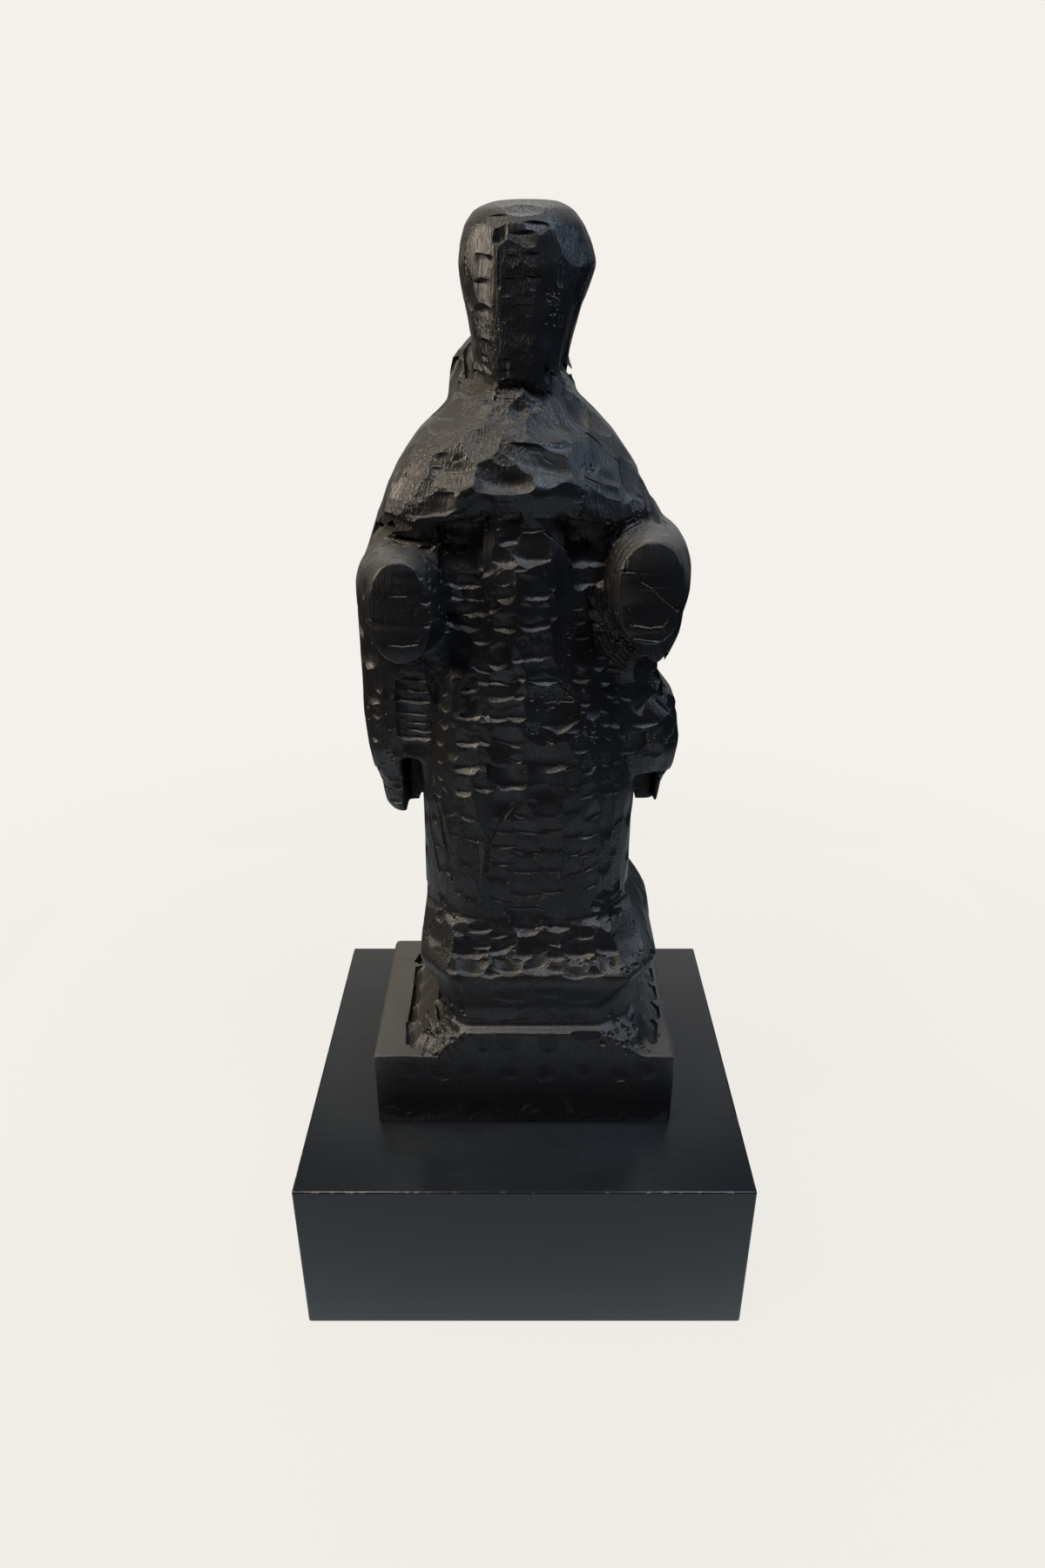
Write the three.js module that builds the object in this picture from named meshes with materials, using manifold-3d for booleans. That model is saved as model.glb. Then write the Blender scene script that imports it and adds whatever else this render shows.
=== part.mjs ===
// A standing robed figure with no face, carved with gouges from one length of beam, on a black plinth.
// Millimetres, +Z up, the figure's front towards -Y, the origin in the middle of the plinth's underside.
// Heights named h are above the plinth's top, where the figure stands.
import * as THREE from "three";
import { mergeVertices } from "three/addons/utils/BufferGeometryUtils.js";
import Module from "manifold-3d";

const wasm = await Module();
wasm.setup();

// Driving dimensions. The figure never leaves the outline of its beam, a 6 by 4 inch timber.
const plinthSize = { width: 222, depth: 200, height: 92, ease: 1.2 };
const beam = { width: 150, depth: 101, front: -54.7 };
const figureHeight = 416;
const blockHeight = 43;
const ledgeHeight = 58;
const lipHeight = 91;
const wingHeight = 158;
const capeHeight = 297;
const sleeveHalfHeight = 20.3;
const ringPoints = 28;
// A section narrows towards its front from this share of the way forward.
const cornerStart = 0.4;

const beamBack = beam.front + beam.depth;
const up = new THREE.Vector3(0, 0, 1);

// Rings of points with the same count, joined into one closed skin with a fan over each end.
function skin(rings) {
  const count = rings[0].length;
  const points = rings.flat();
  const faces = [];
  for (let r = 0; r + 1 < rings.length; r++) {
    for (let i = 0; i < count; i++) {
      const a = r * count + i;
      const b = r * count + ((i + 1) % count);
      faces.push(a, b, b + count, a, b + count, a + count);
    }
  }
  const middleOf = (ring) =>
    ring.reduce((sum, p) => sum.add(p), new THREE.Vector3()).divideScalar(count);
  const foot = points.push(middleOf(rings[0])) - 1;
  const crown = points.push(middleOf(rings.at(-1))) - 1;
  const last = (rings.length - 1) * count;
  for (let i = 0; i < count; i++) {
    const next = (i + 1) % count;
    faces.push(foot, next, i, crown, last + i, last + next);
  }
  return new THREE.BufferGeometry().setFromPoints(points).setIndex(faces);
}

// One level section with a rounded outline: shape 2 is an ellipse and higher values are squarer,
// share narrows it towards its front, and rise lifts the middle of its front.
function roundedRing({ h, left, right, front, back, shape = 2.6, share = 1, rise = 0 }) {
  const middleX = (left + right) / 2;
  const middleY = (front + back) / 2;
  const ring = [];
  for (let i = 0; i < ringPoints; i++) {
    const turn = ((i + 0.5) / ringPoints) * 2 * Math.PI;
    const across = Math.sign(Math.cos(turn)) * Math.abs(Math.cos(turn)) ** (2 / shape);
    const along = Math.sign(Math.sin(turn)) * Math.abs(Math.sin(turn)) ** (2 / shape);
    const forward = Math.max(0, -along);
    const narrowing = (1 - share) * Math.max(0, (forward - cornerStart) / (1 - cornerStart));
    const x = middleX + ((right - left) / 2) * across * (1 - narrowing);
    const y = middleY + ((back - front) / 2) * along;
    const lift = rise * forward * (1 - Math.min(1, Math.abs(across)));
    ring.push(new THREE.Vector3(x, y, h + lift));
  }
  return ring;
}

const loft = (sections) => skin(sections.map(roundedRing));

// One level section with eight sides: a flat front and back, and a cut corner at each of the four turns.
function eightSided({ h, front, back, frontSpan, side, corner }) {
  const [frontLeft, frontRight] = frontSpan;
  const [left, right] = side;
  const outline = [
    [frontLeft, front],
    [frontRight, front],
    [right, front + corner],
    [right, back - corner],
    [frontRight, back],
    [frontLeft, back],
    [left, back - corner],
    [left, front + corner],
  ];
  return outline.map(([x, y]) => new THREE.Vector3(x, y, h));
}

// A box between two corners, given as its spans in x, y and height.
function spanBox([x0, x1], [y0, y1], [z0, z1]) {
  const box = new THREE.BoxGeometry(x1 - x0, y1 - y0, z1 - z0);
  return box.translate((x0 + x1) / 2, (y0 + y1) / 2, (z0 + z1) / 2);
}

function toSolid(geometry) {
  const bare = geometry.clone();
  bare.deleteAttribute("normal");
  bare.deleteAttribute("uv");
  const merged = mergeVertices(bare, 1e-4);
  return new wasm.Manifold(
    new wasm.Mesh({
      numProp: 3,
      vertProperties: new Float32Array(merged.attributes.position.array),
      triVerts: new Uint32Array(merged.index.array),
    }),
  );
}

function toGeometry(solid) {
  const { vertProperties, triVerts } = solid.getMesh();
  const geometry = new THREE.BufferGeometry();
  geometry.setAttribute("position", new THREE.BufferAttribute(vertProperties, 3));
  geometry.setIndex(new THREE.BufferAttribute(triVerts, 1));
  geometry.computeVertexNormals();
  return geometry;
}

const joined = (geometries) =>
  geometries.map(toSolid).reduce((whole, piece) => whole.add(piece));

// The squared end of the beam, left as the figure's own base, with a low step beside its foot.
function block() {
  const half = beam.width / 2;
  return spanBox([-half, half], [beam.front, beamBack], [0, blockHeight]);
}

function sideStep() {
  return spanBox([50, 66.5], [beam.front + 22, beamBack - 2], [blockHeight - 1, blockHeight + 2.5]);
}

// The foot: a splayed base flush with the beam's front, a neck set back behind a ledge, a bevel out
// to the lip, and the hem that climbs from the lip to the robe.
function foot() {
  const { front } = beam;
  const back = beamBack - 3;
  const levels = [
    { h: blockHeight - 2, front, back, frontSpan: [-43, 58], side: [-56, 63], corner: 14 },
    { h: blockHeight, front, back, frontSpan: [-42, 57], side: [-55, 62], corner: 14 },
    { h: ledgeHeight, front, back, frontSpan: [-27, 37], side: [-44, 55], corner: 17 },
    { h: ledgeHeight, front: front + 5, back, frontSpan: [-28, 37], side: [-42, 54], corner: 12 },
    { h: 70, front: front + 5, back, frontSpan: [-31, 35], side: [-41, 54], corner: 11 },
    { h: lipHeight - 2.5, front, back, frontSpan: [-35, 49.5], side: [-51, 65], corner: 20 },
    { h: lipHeight, front, back, frontSpan: [-35, 49.5], side: [-51, 65], corner: 20 },
    { h: 101, front: front + 6.5, back: back - 3, frontSpan: [-34, 44], side: [-50, 60], corner: 20 },
    { h: 114, front: front + 12, back: back - 5, frontSpan: [-33, 38], side: [-48, 52], corner: 20 },
  ];
  return skin(levels.map(eightSided));
}

// The long robe, with a broad flat front that narrows from its sides, up to the chest under the cape.
function robe() {
  const back = beamBack - 8;
  return loft([
    { h: 98, left: -49, right: 51.5, front: -43, back, shape: 5, share: 0.76 },
    { h: 116, left: -48.5, right: 51, front: -42, back, shape: 5, share: 0.76 },
    { h: 160, left: -48, right: 51, front: -41.5, back, shape: 5, share: 0.76 },
    { h: 180, left: -47.5, right: 51, front: -42.5, back, shape: 4.4, share: 0.78 },
    { h: 205, left: -46, right: 50, front: -43, back, shape: 3.4, share: 0.8 },
    { h: 230, left: -45, right: 47, front: -42, back, shape: 2.6, share: 0.88 },
    { h: 258, left: -44, right: 45, front: -40, back, shape: 2.1, share: 0.92 },
    { h: 290, left: -44, right: 44, front: -40, back, shape: 2, share: 0.94 },
    { h: 318, left: -40, right: 36, front: -36, back, shape: 2.2, share: 0.9 },
  ]);
}

// The raised strip down the middle of the chest, from under the cape to the waist.
function chestKeel() {
  return loft([
    { h: 205, left: -28, right: 24, front: -43.5, back: 10, shape: 2.4 },
    { h: 228, left: -26, right: 22, front: -44.5, back: 10, shape: 2.4 },
    { h: 250, left: -19, right: 17.5, front: -45, back: 10, shape: 2.8 },
    { h: 285, left: -16.5, right: 16, front: -45, back: 10, shape: 3 },
    { h: 306, left: -16, right: 15, front: -43.5, back: 10, shape: 3 },
    { h: 318, left: -15, right: 13, front: -38, back: 10, shape: 3 },
  ]);
}

// The mantle that hangs behind the arms and ends in two wings level with the thighs.
function mantle() {
  const back = beamBack - 3;
  const low = wingHeight;
  return loft([
    { h: low, left: -65, right: 62.5, front: -14, back: back - 8, shape: 6 },
    { h: low + 5, left: -68, right: 65.5, front: -16, back: back - 6, shape: 6 },
    { h: low + 16, left: -69, right: 66.5, front: -20, back: back - 4, shape: 5 },
    { h: low + 24, left: -72.5, right: 71.5, front: -23, back: back - 1, shape: 4.6 },
    { h: low + 36, left: -74, right: 73, front: -26, back, shape: 4.6 },
    { h: low + 52, left: -75, right: 72, front: -27, back, shape: 4.6 },
    { h: low + 62, left: -75, right: 64.5, front: -28, back, shape: 4 },
    { h: low + 70, left: -75, right: 59.5, front: -29, back, shape: 3.6 },
    { h: low + 80, left: -75, right: 66, front: -30, back, shape: 3.6 },
    { h: low + 90, left: -75, right: 70.5, front: -31, back, shape: 3.4 },
    { h: low + 104, left: -74.8, right: 71.8, front: -32, back, shape: 3.2 },
    { h: low + 119, left: -71.5, right: 69, front: -33, back, shape: 2.9 },
    { h: low + 134, left: -66, right: 63, front: -34, back: back - 1, shape: 2.8 },
    { h: low + 146, left: -61.5, right: 56, front: -34, back: back - 3, shape: 2.7 },
  ]);
}

// The short cape over the shoulders. Its lower edge stands proud of the chest and rises in the middle.
function cape() {
  const back = beamBack - 3;
  const low = capeHeight;
  const share = 0.86;
  return loft([
    { h: low, left: -63, right: 59, front: -44, back: back - 2, shape: 2.5, share, rise: 14 },
    { h: low + 7, left: -60.5, right: 54.5, front: -46.5, back: back - 3, shape: 2.5, share, rise: 11 },
    { h: low + 17, left: -57, right: 50, front: -46, back: back - 5, shape: 2.4, share, rise: 5 },
    { h: low + 28, left: -50.5, right: 43, front: -42.5, back: back - 9, shape: 2.4, share },
    { h: low + 37, left: -43.5, right: 36, front: -37.5, back: back - 13, shape: 2.3, share },
    { h: low + 44, left: -35.5, right: 29, front: -32.5, back: back - 16, shape: 2.2, share },
    { h: low + 51, left: -28, right: 21, front: -28, back: back - 20, shape: 2.2 },
  ]);
}

// How much of a sleeve's outward spread it also has on the side of the chest.
const innerShare = 0.7;

// A sleeve runs forward from the shoulder and is sawn off flat in the plane of the beam's front.
// It is lofted upright and then laid over, so here h is the reach, front is below and back above.
function sleeve({ middle, height, half, outward }) {
  const steps = [
    { reach: 0, spread: 12, drop: 6, rise: 2 },
    { reach: 18, spread: 11, drop: 5, rise: 2 },
    { reach: 34, spread: 7.5, drop: 3, rise: 2 },
    { reach: 46, spread: 3.2, drop: 1.5, rise: 1.5 },
    { reach: 52.5, spread: 0.8, drop: 0.6, rise: 0.6 },
    { reach: -beam.front, spread: 0, drop: 0, rise: 0 },
  ];
  const sections = steps.map(({ reach, spread, drop, rise }) => ({
    h: reach,
    left: middle - half - spread * (outward < 0 ? 1 : innerShare),
    right: middle + half + spread * (outward > 0 ? 0.75 : innerShare),
    front: height - sleeveHalfHeight - drop,
    back: height + sleeveHalfHeight + rise,
    shape: 2.25,
  }));
  return loft(sections).rotateX(Math.PI / 2);
}

const sleeves = [
  { middle: -50, height: 269, half: 11.6, outward: -1 },
  { middle: 50, height: 277, half: 12.6, outward: 1 },
];

// The rolled hood lying behind the neck.
function collar() {
  return loft([
    { h: 336, left: -33, right: 24, front: -22, back: 31, shape: 2.3 },
    { h: 346, left: -31.5, right: 21.5, front: -20, back: 31, shape: 2.3 },
    { h: 356, left: -30.5, right: 19.5, front: -12, back: 30, shape: 2.3 },
    { h: 363, left: -29, right: 18, front: -4, back: 28, shape: 2.2 },
    { h: 368, left: -23, right: 14, front: 4, back: 24, shape: 2 },
  ]);
}

// The head: a flat front that narrows to a long chin, a wider cheek at the right, and a low crown.
function head() {
  return loft([
    { h: 336, left: -20, right: 17, front: -24, back: 22, shape: 2.6, share: 0.72 },
    { h: 348, left: -19, right: 16.5, front: -29, back: 22, shape: 3, share: 0.72 },
    { h: 358, left: -19.5, right: 16.5, front: -30.5, back: 23, shape: 3.4, share: 0.74 },
    { h: 368, left: -20.5, right: 18, front: -31, back: 24, shape: 3.8, share: 0.72 },
    { h: 380, left: -22.8, right: 21.6, front: -31, back: 25, shape: 4, share: 0.7 },
    { h: 389, left: -24.6, right: 25.2, front: -31, back: 25.5, shape: 4, share: 0.66 },
    { h: 395, left: -25.2, right: 27.2, front: -31, back: 25.5, shape: 4, share: 0.64 },
    { h: 402, left: -24.2, right: 25, front: -30.5, back: 24, shape: 3.8, share: 0.68 },
    { h: 408, left: -22.4, right: 22, front: -29, back: 21, shape: 3.4, share: 0.76 },
    { h: 412.5, left: -19, right: 18.4, front: -25, back: 17, shape: 3, share: 0.82 },
    { h: 415, left: -13, right: 14, front: -18, back: 12, shape: 2.4, share: 0.86 },
    { h: figureHeight, left: -6, right: 9, front: -9, back: 6, shape: 2 },
  ]);
}

// The part of the mantle that trails out behind the robe at the right, down to the hem.
function train() {
  return loft([
    { h: 88, left: 20, right: 66, front: -14, back: 38, shape: 3 },
    { h: 98, left: 20, right: 64.5, front: -10, back: 38, shape: 3 },
    { h: 106, left: 20, right: 60, front: -6, back: 37, shape: 2.8 },
    { h: 113, left: 20, right: 55, front: -2, back: 36, shape: 2.6 },
    { h: 119, left: 20, right: 50, front: 4, back: 35, shape: 2.4 },
  ]);
}

// A form to be carved, with the lines cast at it to find where each stroke starts.
class Workpiece {
  constructor(solid) {
    this.solid = solid;
    this.surface = new THREE.Mesh(toGeometry(solid));
    this.caster = new THREE.Raycaster();
  }

  // Where a level line at x and height h first meets the form, with the direction into the wood.
  touch(x, h, side) {
    const from = new THREE.Vector3(x, side * 200, h);
    this.caster.set(from, new THREE.Vector3(0, -side, 0));
    const [hit] = this.caster.intersectObject(this.surface);
    return { at: hit.point, inward: hit.face.normal.clone().negate() };
  }

  fromFront(x, h) {
    return this.touch(x, h, -1);
  }

  fromBack(x, h) {
    return this.touch(x, h, 1);
  }

  cut(cutters) {
    return cutters.map(toSolid).reduce((solid, cutter) => solid.subtract(cutter), this.solid);
  }
}

// One stroke of a gouge: the hollow of an ellipsoid sunk to a depth in the surface, with its length
// along the stroke. round is the ellipsoid's reach out of the wood for its width, so that a low value
// gives a tight hollow, and lean tips its lower end in, so that the stroke ends in a step.
function stroke({ at, inward }, { length, width, depth, round = 0.8, lean = 0 }) {
  const reach = width * round;
  const spread = Math.sqrt(1 - (1 - depth / reach) ** 2);
  const cutter = new THREE.SphereGeometry(1, 8, 10);
  cutter.rotateY(Math.PI / 8);
  cutter.scale(width / 2 / spread, reach, length / 2 / spread);
  cutter.rotateX(lean);
  const across = new THREE.Vector3().crossVectors(inward, up).normalize();
  const along = new THREE.Vector3().crossVectors(across, inward);
  const placed = new THREE.Matrix4().makeBasis(across, inward, along);
  placed.setPosition(at.clone().addScaledVector(inward, depth - reach));
  return cutter.applyMatrix4(placed);
}

const steps = (count) => Array.from({ length: count }, (_, i) => i);

// The starts of a column of strokes, one below the other.
const column = ({ x, top, pitch, count, shift = 0 }) =>
  steps(count).map((i) => [x + shift * i, top - pitch * i]);

const chestStep = { length: 19, width: 17, depth: 2.2, lean: 0.18 };
const apronStep = { length: 18, width: 18, depth: 1.9, lean: 0.14 };
const crescent = { length: 12, width: 14, depth: 2.2, round: 0.6, lean: 0.25 };
const ringHollow = { length: 15, width: 14, depth: 2.6, round: 0.6 };
const headFlat = { length: 17, width: 13, depth: 0.9, round: 1.2, lean: -0.05 };
const capeScoop = { length: 22, width: 20, depth: 2, lean: 0.06 };
const hemScoop = { length: 19, width: 19, depth: 1.9 };
const backScoop = { length: 40, width: 34, depth: 2.2, round: 1 };

function carvedBody() {
  const work = new Workpiece(
    joined([block(), sideStep(), foot(), robe(), chestKeel(), mantle(), cape(), collar(), train()]),
  );
  const inFront = (places, size) => places.map(([x, h]) => stroke(work.fromFront(x, h), size));
  const behind = (places, size) => places.map(([x, h]) => stroke(work.fromBack(x, h), size));

  // Two round hollows under the cape, one at each side of the chest.
  const rings = inFront([[-26.5, 291], [25, 291]], ringHollow);

  // Steps down the middle of the chest, and of the apron below it.
  const chest = [-10, 5].flatMap((x, i) => column({ x, top: 300 - 5 * i, pitch: 13, count: 6 }));
  const apron = [
    ...column({ x: -25, top: 228, pitch: 13, count: 5, shift: -1.5 }),
    ...column({ x: -8, top: 222, pitch: 14, count: 4 }),
    ...column({ x: 10, top: 227, pitch: 14, count: 4 }),
  ];

  // Crescents beside the left sleeve, and below it between the wing and the robe.
  const crescents = [
    ...column({ x: -26, top: 277, pitch: 9, count: 4 }),
    ...column({ x: -50, top: 229, pitch: 7.5, count: 5 }),
  ];

  const hem = steps(5).map((i) => [-25 + 16.5 * i, 102]);
  const capeRows = [
    ...steps(5).map((i) => [-35 + 16 * i, 309]),
    ...steps(4).map((i) => [-28 + 18 * i, 324]),
  ];

  // Broad strokes down the back of the mantle and of the robe.
  const backColumns = [-48, -16, 16, 48].flatMap((x, i) =>
    column({ x, top: 304 - 12 * (i % 2), pitch: 33, count: 4 }),
  );
  const lowerBack = [-24, 6, 34].flatMap((x) => column({ x, top: 138, pitch: 26, count: 2 }));

  // The deep hollow between each wing and the robe, open in front and below.
  const hollows = [
    spanBox([-57.5, -47.5], [-40, 2], [wingHeight - 12, wingHeight + 34]),
    spanBox([51.5, 63.5], [-40, 3], [wingHeight - 12, wingHeight + 25]),
  ];

  // The folded edge of the mantle under the right sleeve: three slanting grooves side by side.
  const foldGrooves = steps(3).map((i) => {
    const groove = new THREE.SphereGeometry(1, 8, 8).scale(1.6, 26, 21);
    groove.rotateY(-0.72);
    return groove.translate(74.5 - 2.6 * i, -14, 221 - 5.5 * i);
  });

  return work.cut([
    ...rings,
    ...inFront(chest, chestStep),
    ...inFront(apron, apronStep),
    ...inFront(crescents, crescent),
    ...inFront(hem, hemScoop),
    ...inFront(capeRows, capeScoop),
    ...behind(backColumns, backScoop),
    ...behind(lowerBack, backScoop),
    ...hollows,
    ...foldGrooves,
  ]);
}

// The head has flat strokes down its front in three columns, and no features.
function carvedHead() {
  const work = new Workpiece(toSolid(head()));
  const flats = [-15, -4, 8].flatMap((x, i) => column({ x, top: 402 - 2 * i, pitch: 14, count: 4 }));
  return work.cut(flats.map(([x, h]) => stroke(work.fromFront(x, h), headFlat)));
}

const figureSolid = joined(sleeves.map(sleeve)).add(carvedBody()).add(carvedHead());

const wood = new THREE.MeshStandardMaterial({ color: 0x2c2927, roughness: 0.55, metalness: 0 });
const paint = new THREE.MeshStandardMaterial({ color: 0x1d2022, roughness: 0.4, metalness: 0 });

const figure = new THREE.Mesh(toGeometry(figureSolid), wood);
figure.name = "carved_figure";
figure.position.z = plinthSize.height;

// The plinth is a plain painted block with lightly eased edges.
function easedBlock({ width, depth, height, ease }) {
  const x = width / 2 - ease;
  const y = depth / 2 - ease;
  const outline = new THREE.Shape();
  outline.moveTo(-x, -y);
  outline.lineTo(x, -y);
  outline.lineTo(x, y);
  outline.lineTo(-x, y);
  outline.closePath();
  const eased = new THREE.ExtrudeGeometry(outline, {
    depth: height - 2 * ease,
    bevelSize: ease,
    bevelThickness: ease,
    bevelSegments: 2,
  });
  return eased.translate(0, 0, ease);
}

const plinth = new THREE.Mesh(toGeometry(toSolid(easedBlock(plinthSize))), paint);
plinth.name = "plinth";

const part = new THREE.Group();
part.add(plinth, figure);

export default part;
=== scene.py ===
import math
import random

import bmesh
import bpy
from mathutils import Matrix, Vector
from mathutils.bvhtree import BVHTree
from mathutils.kdtree import KDTree


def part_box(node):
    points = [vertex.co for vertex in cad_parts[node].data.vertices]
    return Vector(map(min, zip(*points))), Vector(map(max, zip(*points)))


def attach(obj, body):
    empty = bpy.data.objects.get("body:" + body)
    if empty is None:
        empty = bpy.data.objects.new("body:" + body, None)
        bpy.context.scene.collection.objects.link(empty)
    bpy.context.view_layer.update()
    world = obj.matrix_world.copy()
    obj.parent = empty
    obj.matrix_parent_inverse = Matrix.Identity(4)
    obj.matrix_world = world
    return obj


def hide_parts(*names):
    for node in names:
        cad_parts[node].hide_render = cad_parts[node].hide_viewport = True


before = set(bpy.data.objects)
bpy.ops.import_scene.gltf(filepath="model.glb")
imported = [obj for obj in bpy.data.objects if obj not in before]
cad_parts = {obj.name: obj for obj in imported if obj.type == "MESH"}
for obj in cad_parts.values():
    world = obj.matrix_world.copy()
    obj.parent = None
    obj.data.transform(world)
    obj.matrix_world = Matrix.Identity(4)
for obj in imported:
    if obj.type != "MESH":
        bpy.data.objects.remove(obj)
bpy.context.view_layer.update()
scene = bpy.context.scene
MM = 0.001


# The camera stands where the photograph was taken from: close in front of the figure, a little below
# the top of its head, and tilted down to the plinth. Its place was worked out from the plinth's corners.

PHOTO_WIDTH, PHOTO_HEIGHT = 1200, 1800
PHOTO_FOCAL = 1155
LONG_SIDE_SENSOR = 36
CAMERA_AT = Vector((-0.9, -446, 475)) * MM
CAMERA_PITCH = math.radians(25.8)

camera = bpy.data.objects.new("camera", bpy.data.cameras.new("camera"))
camera.data.sensor_width = LONG_SIDE_SENSOR
camera.data.lens = LONG_SIDE_SENSOR * PHOTO_FOCAL / PHOTO_HEIGHT
camera.data.clip_start = 0.02
camera.location = CAMERA_AT
camera.rotation_euler = (math.pi / 2 - CAMERA_PITCH, 0, 0)
scene.collection.objects.link(camera)
scene.camera = camera


def photo_ray(x, y):
    """The direction from the camera through a pixel of the photograph."""
    turned = Matrix.Rotation(math.pi / 2 - CAMERA_PITCH, 3, "X")
    return (turned @ Vector((x - PHOTO_WIDTH / 2, PHOTO_HEIGHT / 2 - y, -PHOTO_FOCAL))).normalized()


# The studio is a pale, seamless ground with a faint shadow round the plinth. Two windows light the figure
# from above, warm from the left and cool from the right, with a pale wall behind, so its front stays dark.

PALE_GROUND = "F4F1EC"
WARM_WINDOW = "FFF0DC"
COOL_WINDOW = "C4D9F4"
scene.view_settings.view_transform = "Standard"


def linear(hex_colour):
    """An sRGB hex colour as the linear red, green, blue and alpha that a shader takes."""
    shares = [int(hex_colour[i:i + 2], 16) / 255 for i in (0, 2, 4)]
    return [s / 12.92 if s <= 0.04045 else ((s + 0.055) / 1.055) ** 2.4 for s in shares] + [1]


def add_node(tree, kind, settings={}, inputs={}):
    """One node with its settings, and its inputs as values or as the outputs linked to them."""
    node = tree.nodes.new(kind)
    for name, value in settings.items():
        setattr(node, name, value)
    for name, value in inputs.items():
        if isinstance(value, bpy.types.NodeSocket):
            tree.links.new(value, node.inputs[name])
        else:
            node.inputs[name].default_value = value
    return node


world = bpy.data.worlds.new("pale_ground")
world.use_nodes = True
world.node_tree.nodes["Background"].inputs["Color"].default_value = linear(PALE_GROUND)
scene.world = world
world.cycles_visibility.diffuse = False
world.cycles_visibility.glossy = False

# The floor glows evenly like the photograph's blank ground. Near the plinth a share of it is grey matt
# board, which is what takes the shadow.
SHADOW_REACH = 0.75
MATT_BOARD = "B4AFA6"
ground = bpy.data.materials.new("pale_ground")
ground.use_nodes = True
tree = ground.node_tree
tree.nodes.clear()
place = add_node(tree, "ShaderNodeTexCoord")
distance = add_node(
    tree, "ShaderNodeVectorMath", {"operation": "LENGTH"}, {"Vector": place.outputs["Object"]},
)
nearness = add_node(
    tree, "ShaderNodeMapRange", {"interpolation_type": "SMOOTHSTEP"},
    {"Value": distance.outputs["Value"], "From Min": 0.12, "From Max": SHADOW_REACH,
     "To Min": 0.12, "To Max": 0},
)
glow = add_node(tree, "ShaderNodeEmission", {}, {"Color": linear(PALE_GROUND)})
board = add_node(tree, "ShaderNodeBsdfDiffuse", {}, {"Color": linear(MATT_BOARD)})
shared = add_node(
    tree, "ShaderNodeMixShader", {}, {0: nearness.outputs["Result"], 1: glow.outputs[0], 2: board.outputs[0]},
)
add_node(tree, "ShaderNodeOutputMaterial", {}, {"Surface": shared.outputs[0]})


def level_sheet(name, size, height, material):
    """A square level sheet round the origin, for the floor and for the card that lights from below."""
    form = bmesh.new()
    bmesh.ops.create_grid(form, x_segments=1, y_segments=1, size=size / 2)
    bmesh.ops.translate(form, vec=(0, 0, height), verts=form.verts)
    sheet = bpy.data.objects.new(name, bpy.data.meshes.new(name))
    form.to_mesh(sheet.data)
    form.free()
    sheet.data.materials.append(material)
    scene.collection.objects.link(sheet)
    return sheet


floor = level_sheet("floor", 12, 0, ground)
floor.visible_diffuse = False
floor.visible_glossy = False

# Only the table top close round the plinth shines back on to it.
table_glow = bpy.data.materials.new("table_top_glow")
table_glow.use_nodes = True
table_glow.node_tree.nodes.clear()
glow = add_node(table_glow.node_tree, "ShaderNodeEmission", {}, {"Color": linear("E2EAF2"), "Strength": 0.65})
add_node(table_glow.node_tree, "ShaderNodeOutputMaterial", {}, {"Surface": glow.outputs[0]})
table_top = level_sheet("table_top", 0.8, 0.3 * MM, table_glow)
table_top.visible_camera = False
table_top.visible_shadow = False


def softbox(name, colour, watts, size, at, aim=(0, 0, 0.3)):
    """A square area light at a place, turned towards the point that it lights."""
    data = bpy.data.lights.new(name, "AREA")
    data.color = linear(colour)[:3]
    data.energy = watts
    data.size = size
    light = bpy.data.objects.new(name, data)
    light.location = at
    light.rotation_euler = (Vector(aim) - Vector(at)).to_track_quat("-Z", "Y").to_euler()
    light.visible_camera = False
    scene.collection.objects.link(light)


softbox("warm_window", WARM_WINDOW, 10, 0.35, (-0.6, -0.6, 1.5))
softbox("warm_side", WARM_WINDOW, 11, 0.4, (-1.2, 0, 0.8))
softbox("cool_window", COOL_WINDOW, 10, 0.35, (0.6, -0.6, 1.5))
softbox("cool_side", COOL_WINDOW, 3, 0.4, (1.2, 0, 0.8))
softbox("high_back", "FFFFFF", 4.5, 0.5, (0, 0.6, 1.6))
softbox("pale_wall", PALE_GROUND, 9, 2.2, (0, 1.7, 0.9))


# The plinth is a plain block of softwood or board, sanded, its edges just eased, under black satin paint.
# It carries the figure, which only stands on it.

plinth_low, plinth_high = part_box("plinth")
EASED_EDGE = 1.2 * MM

plinth_form = bmesh.new()
bmesh.ops.create_cube(plinth_form, size=1)
bmesh.ops.scale(plinth_form, vec=plinth_high - plinth_low, verts=plinth_form.verts)
bmesh.ops.translate(plinth_form, vec=(plinth_low + plinth_high) / 2, verts=plinth_form.verts)
bmesh.ops.bevel(
    plinth_form, geom=plinth_form.edges, offset=EASED_EDGE, segments=3,
    profile=0.5, affect="EDGES", material=-1,
)
plinth = bpy.data.objects.new("painted_plinth", bpy.data.meshes.new("painted_plinth"))
plinth_form.to_mesh(plinth.data)
plinth_form.free()
plinth.data.shade_smooth()
plinth.data.set_sharp_from_angle(angle=math.radians(40))
scene.collection.objects.link(plinth)

# Black satin paint brushed over sanded wood. The eye gets a slightly cool black with a soft reflection,
# faintly uneven from the brush, and paler worn spots along its eased edges.
PAINT_BLACK = "191C1F"
PAINT_THIN = "22262A"
PAINT_WORN = "77736C"
BRUSH_STREAK = 3.5 * MM
BRUSH_LENGTH = 60 * MM
BRUSH_DEPTH = 0.05 * MM
WEAR_SIZE = 5 * MM

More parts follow.
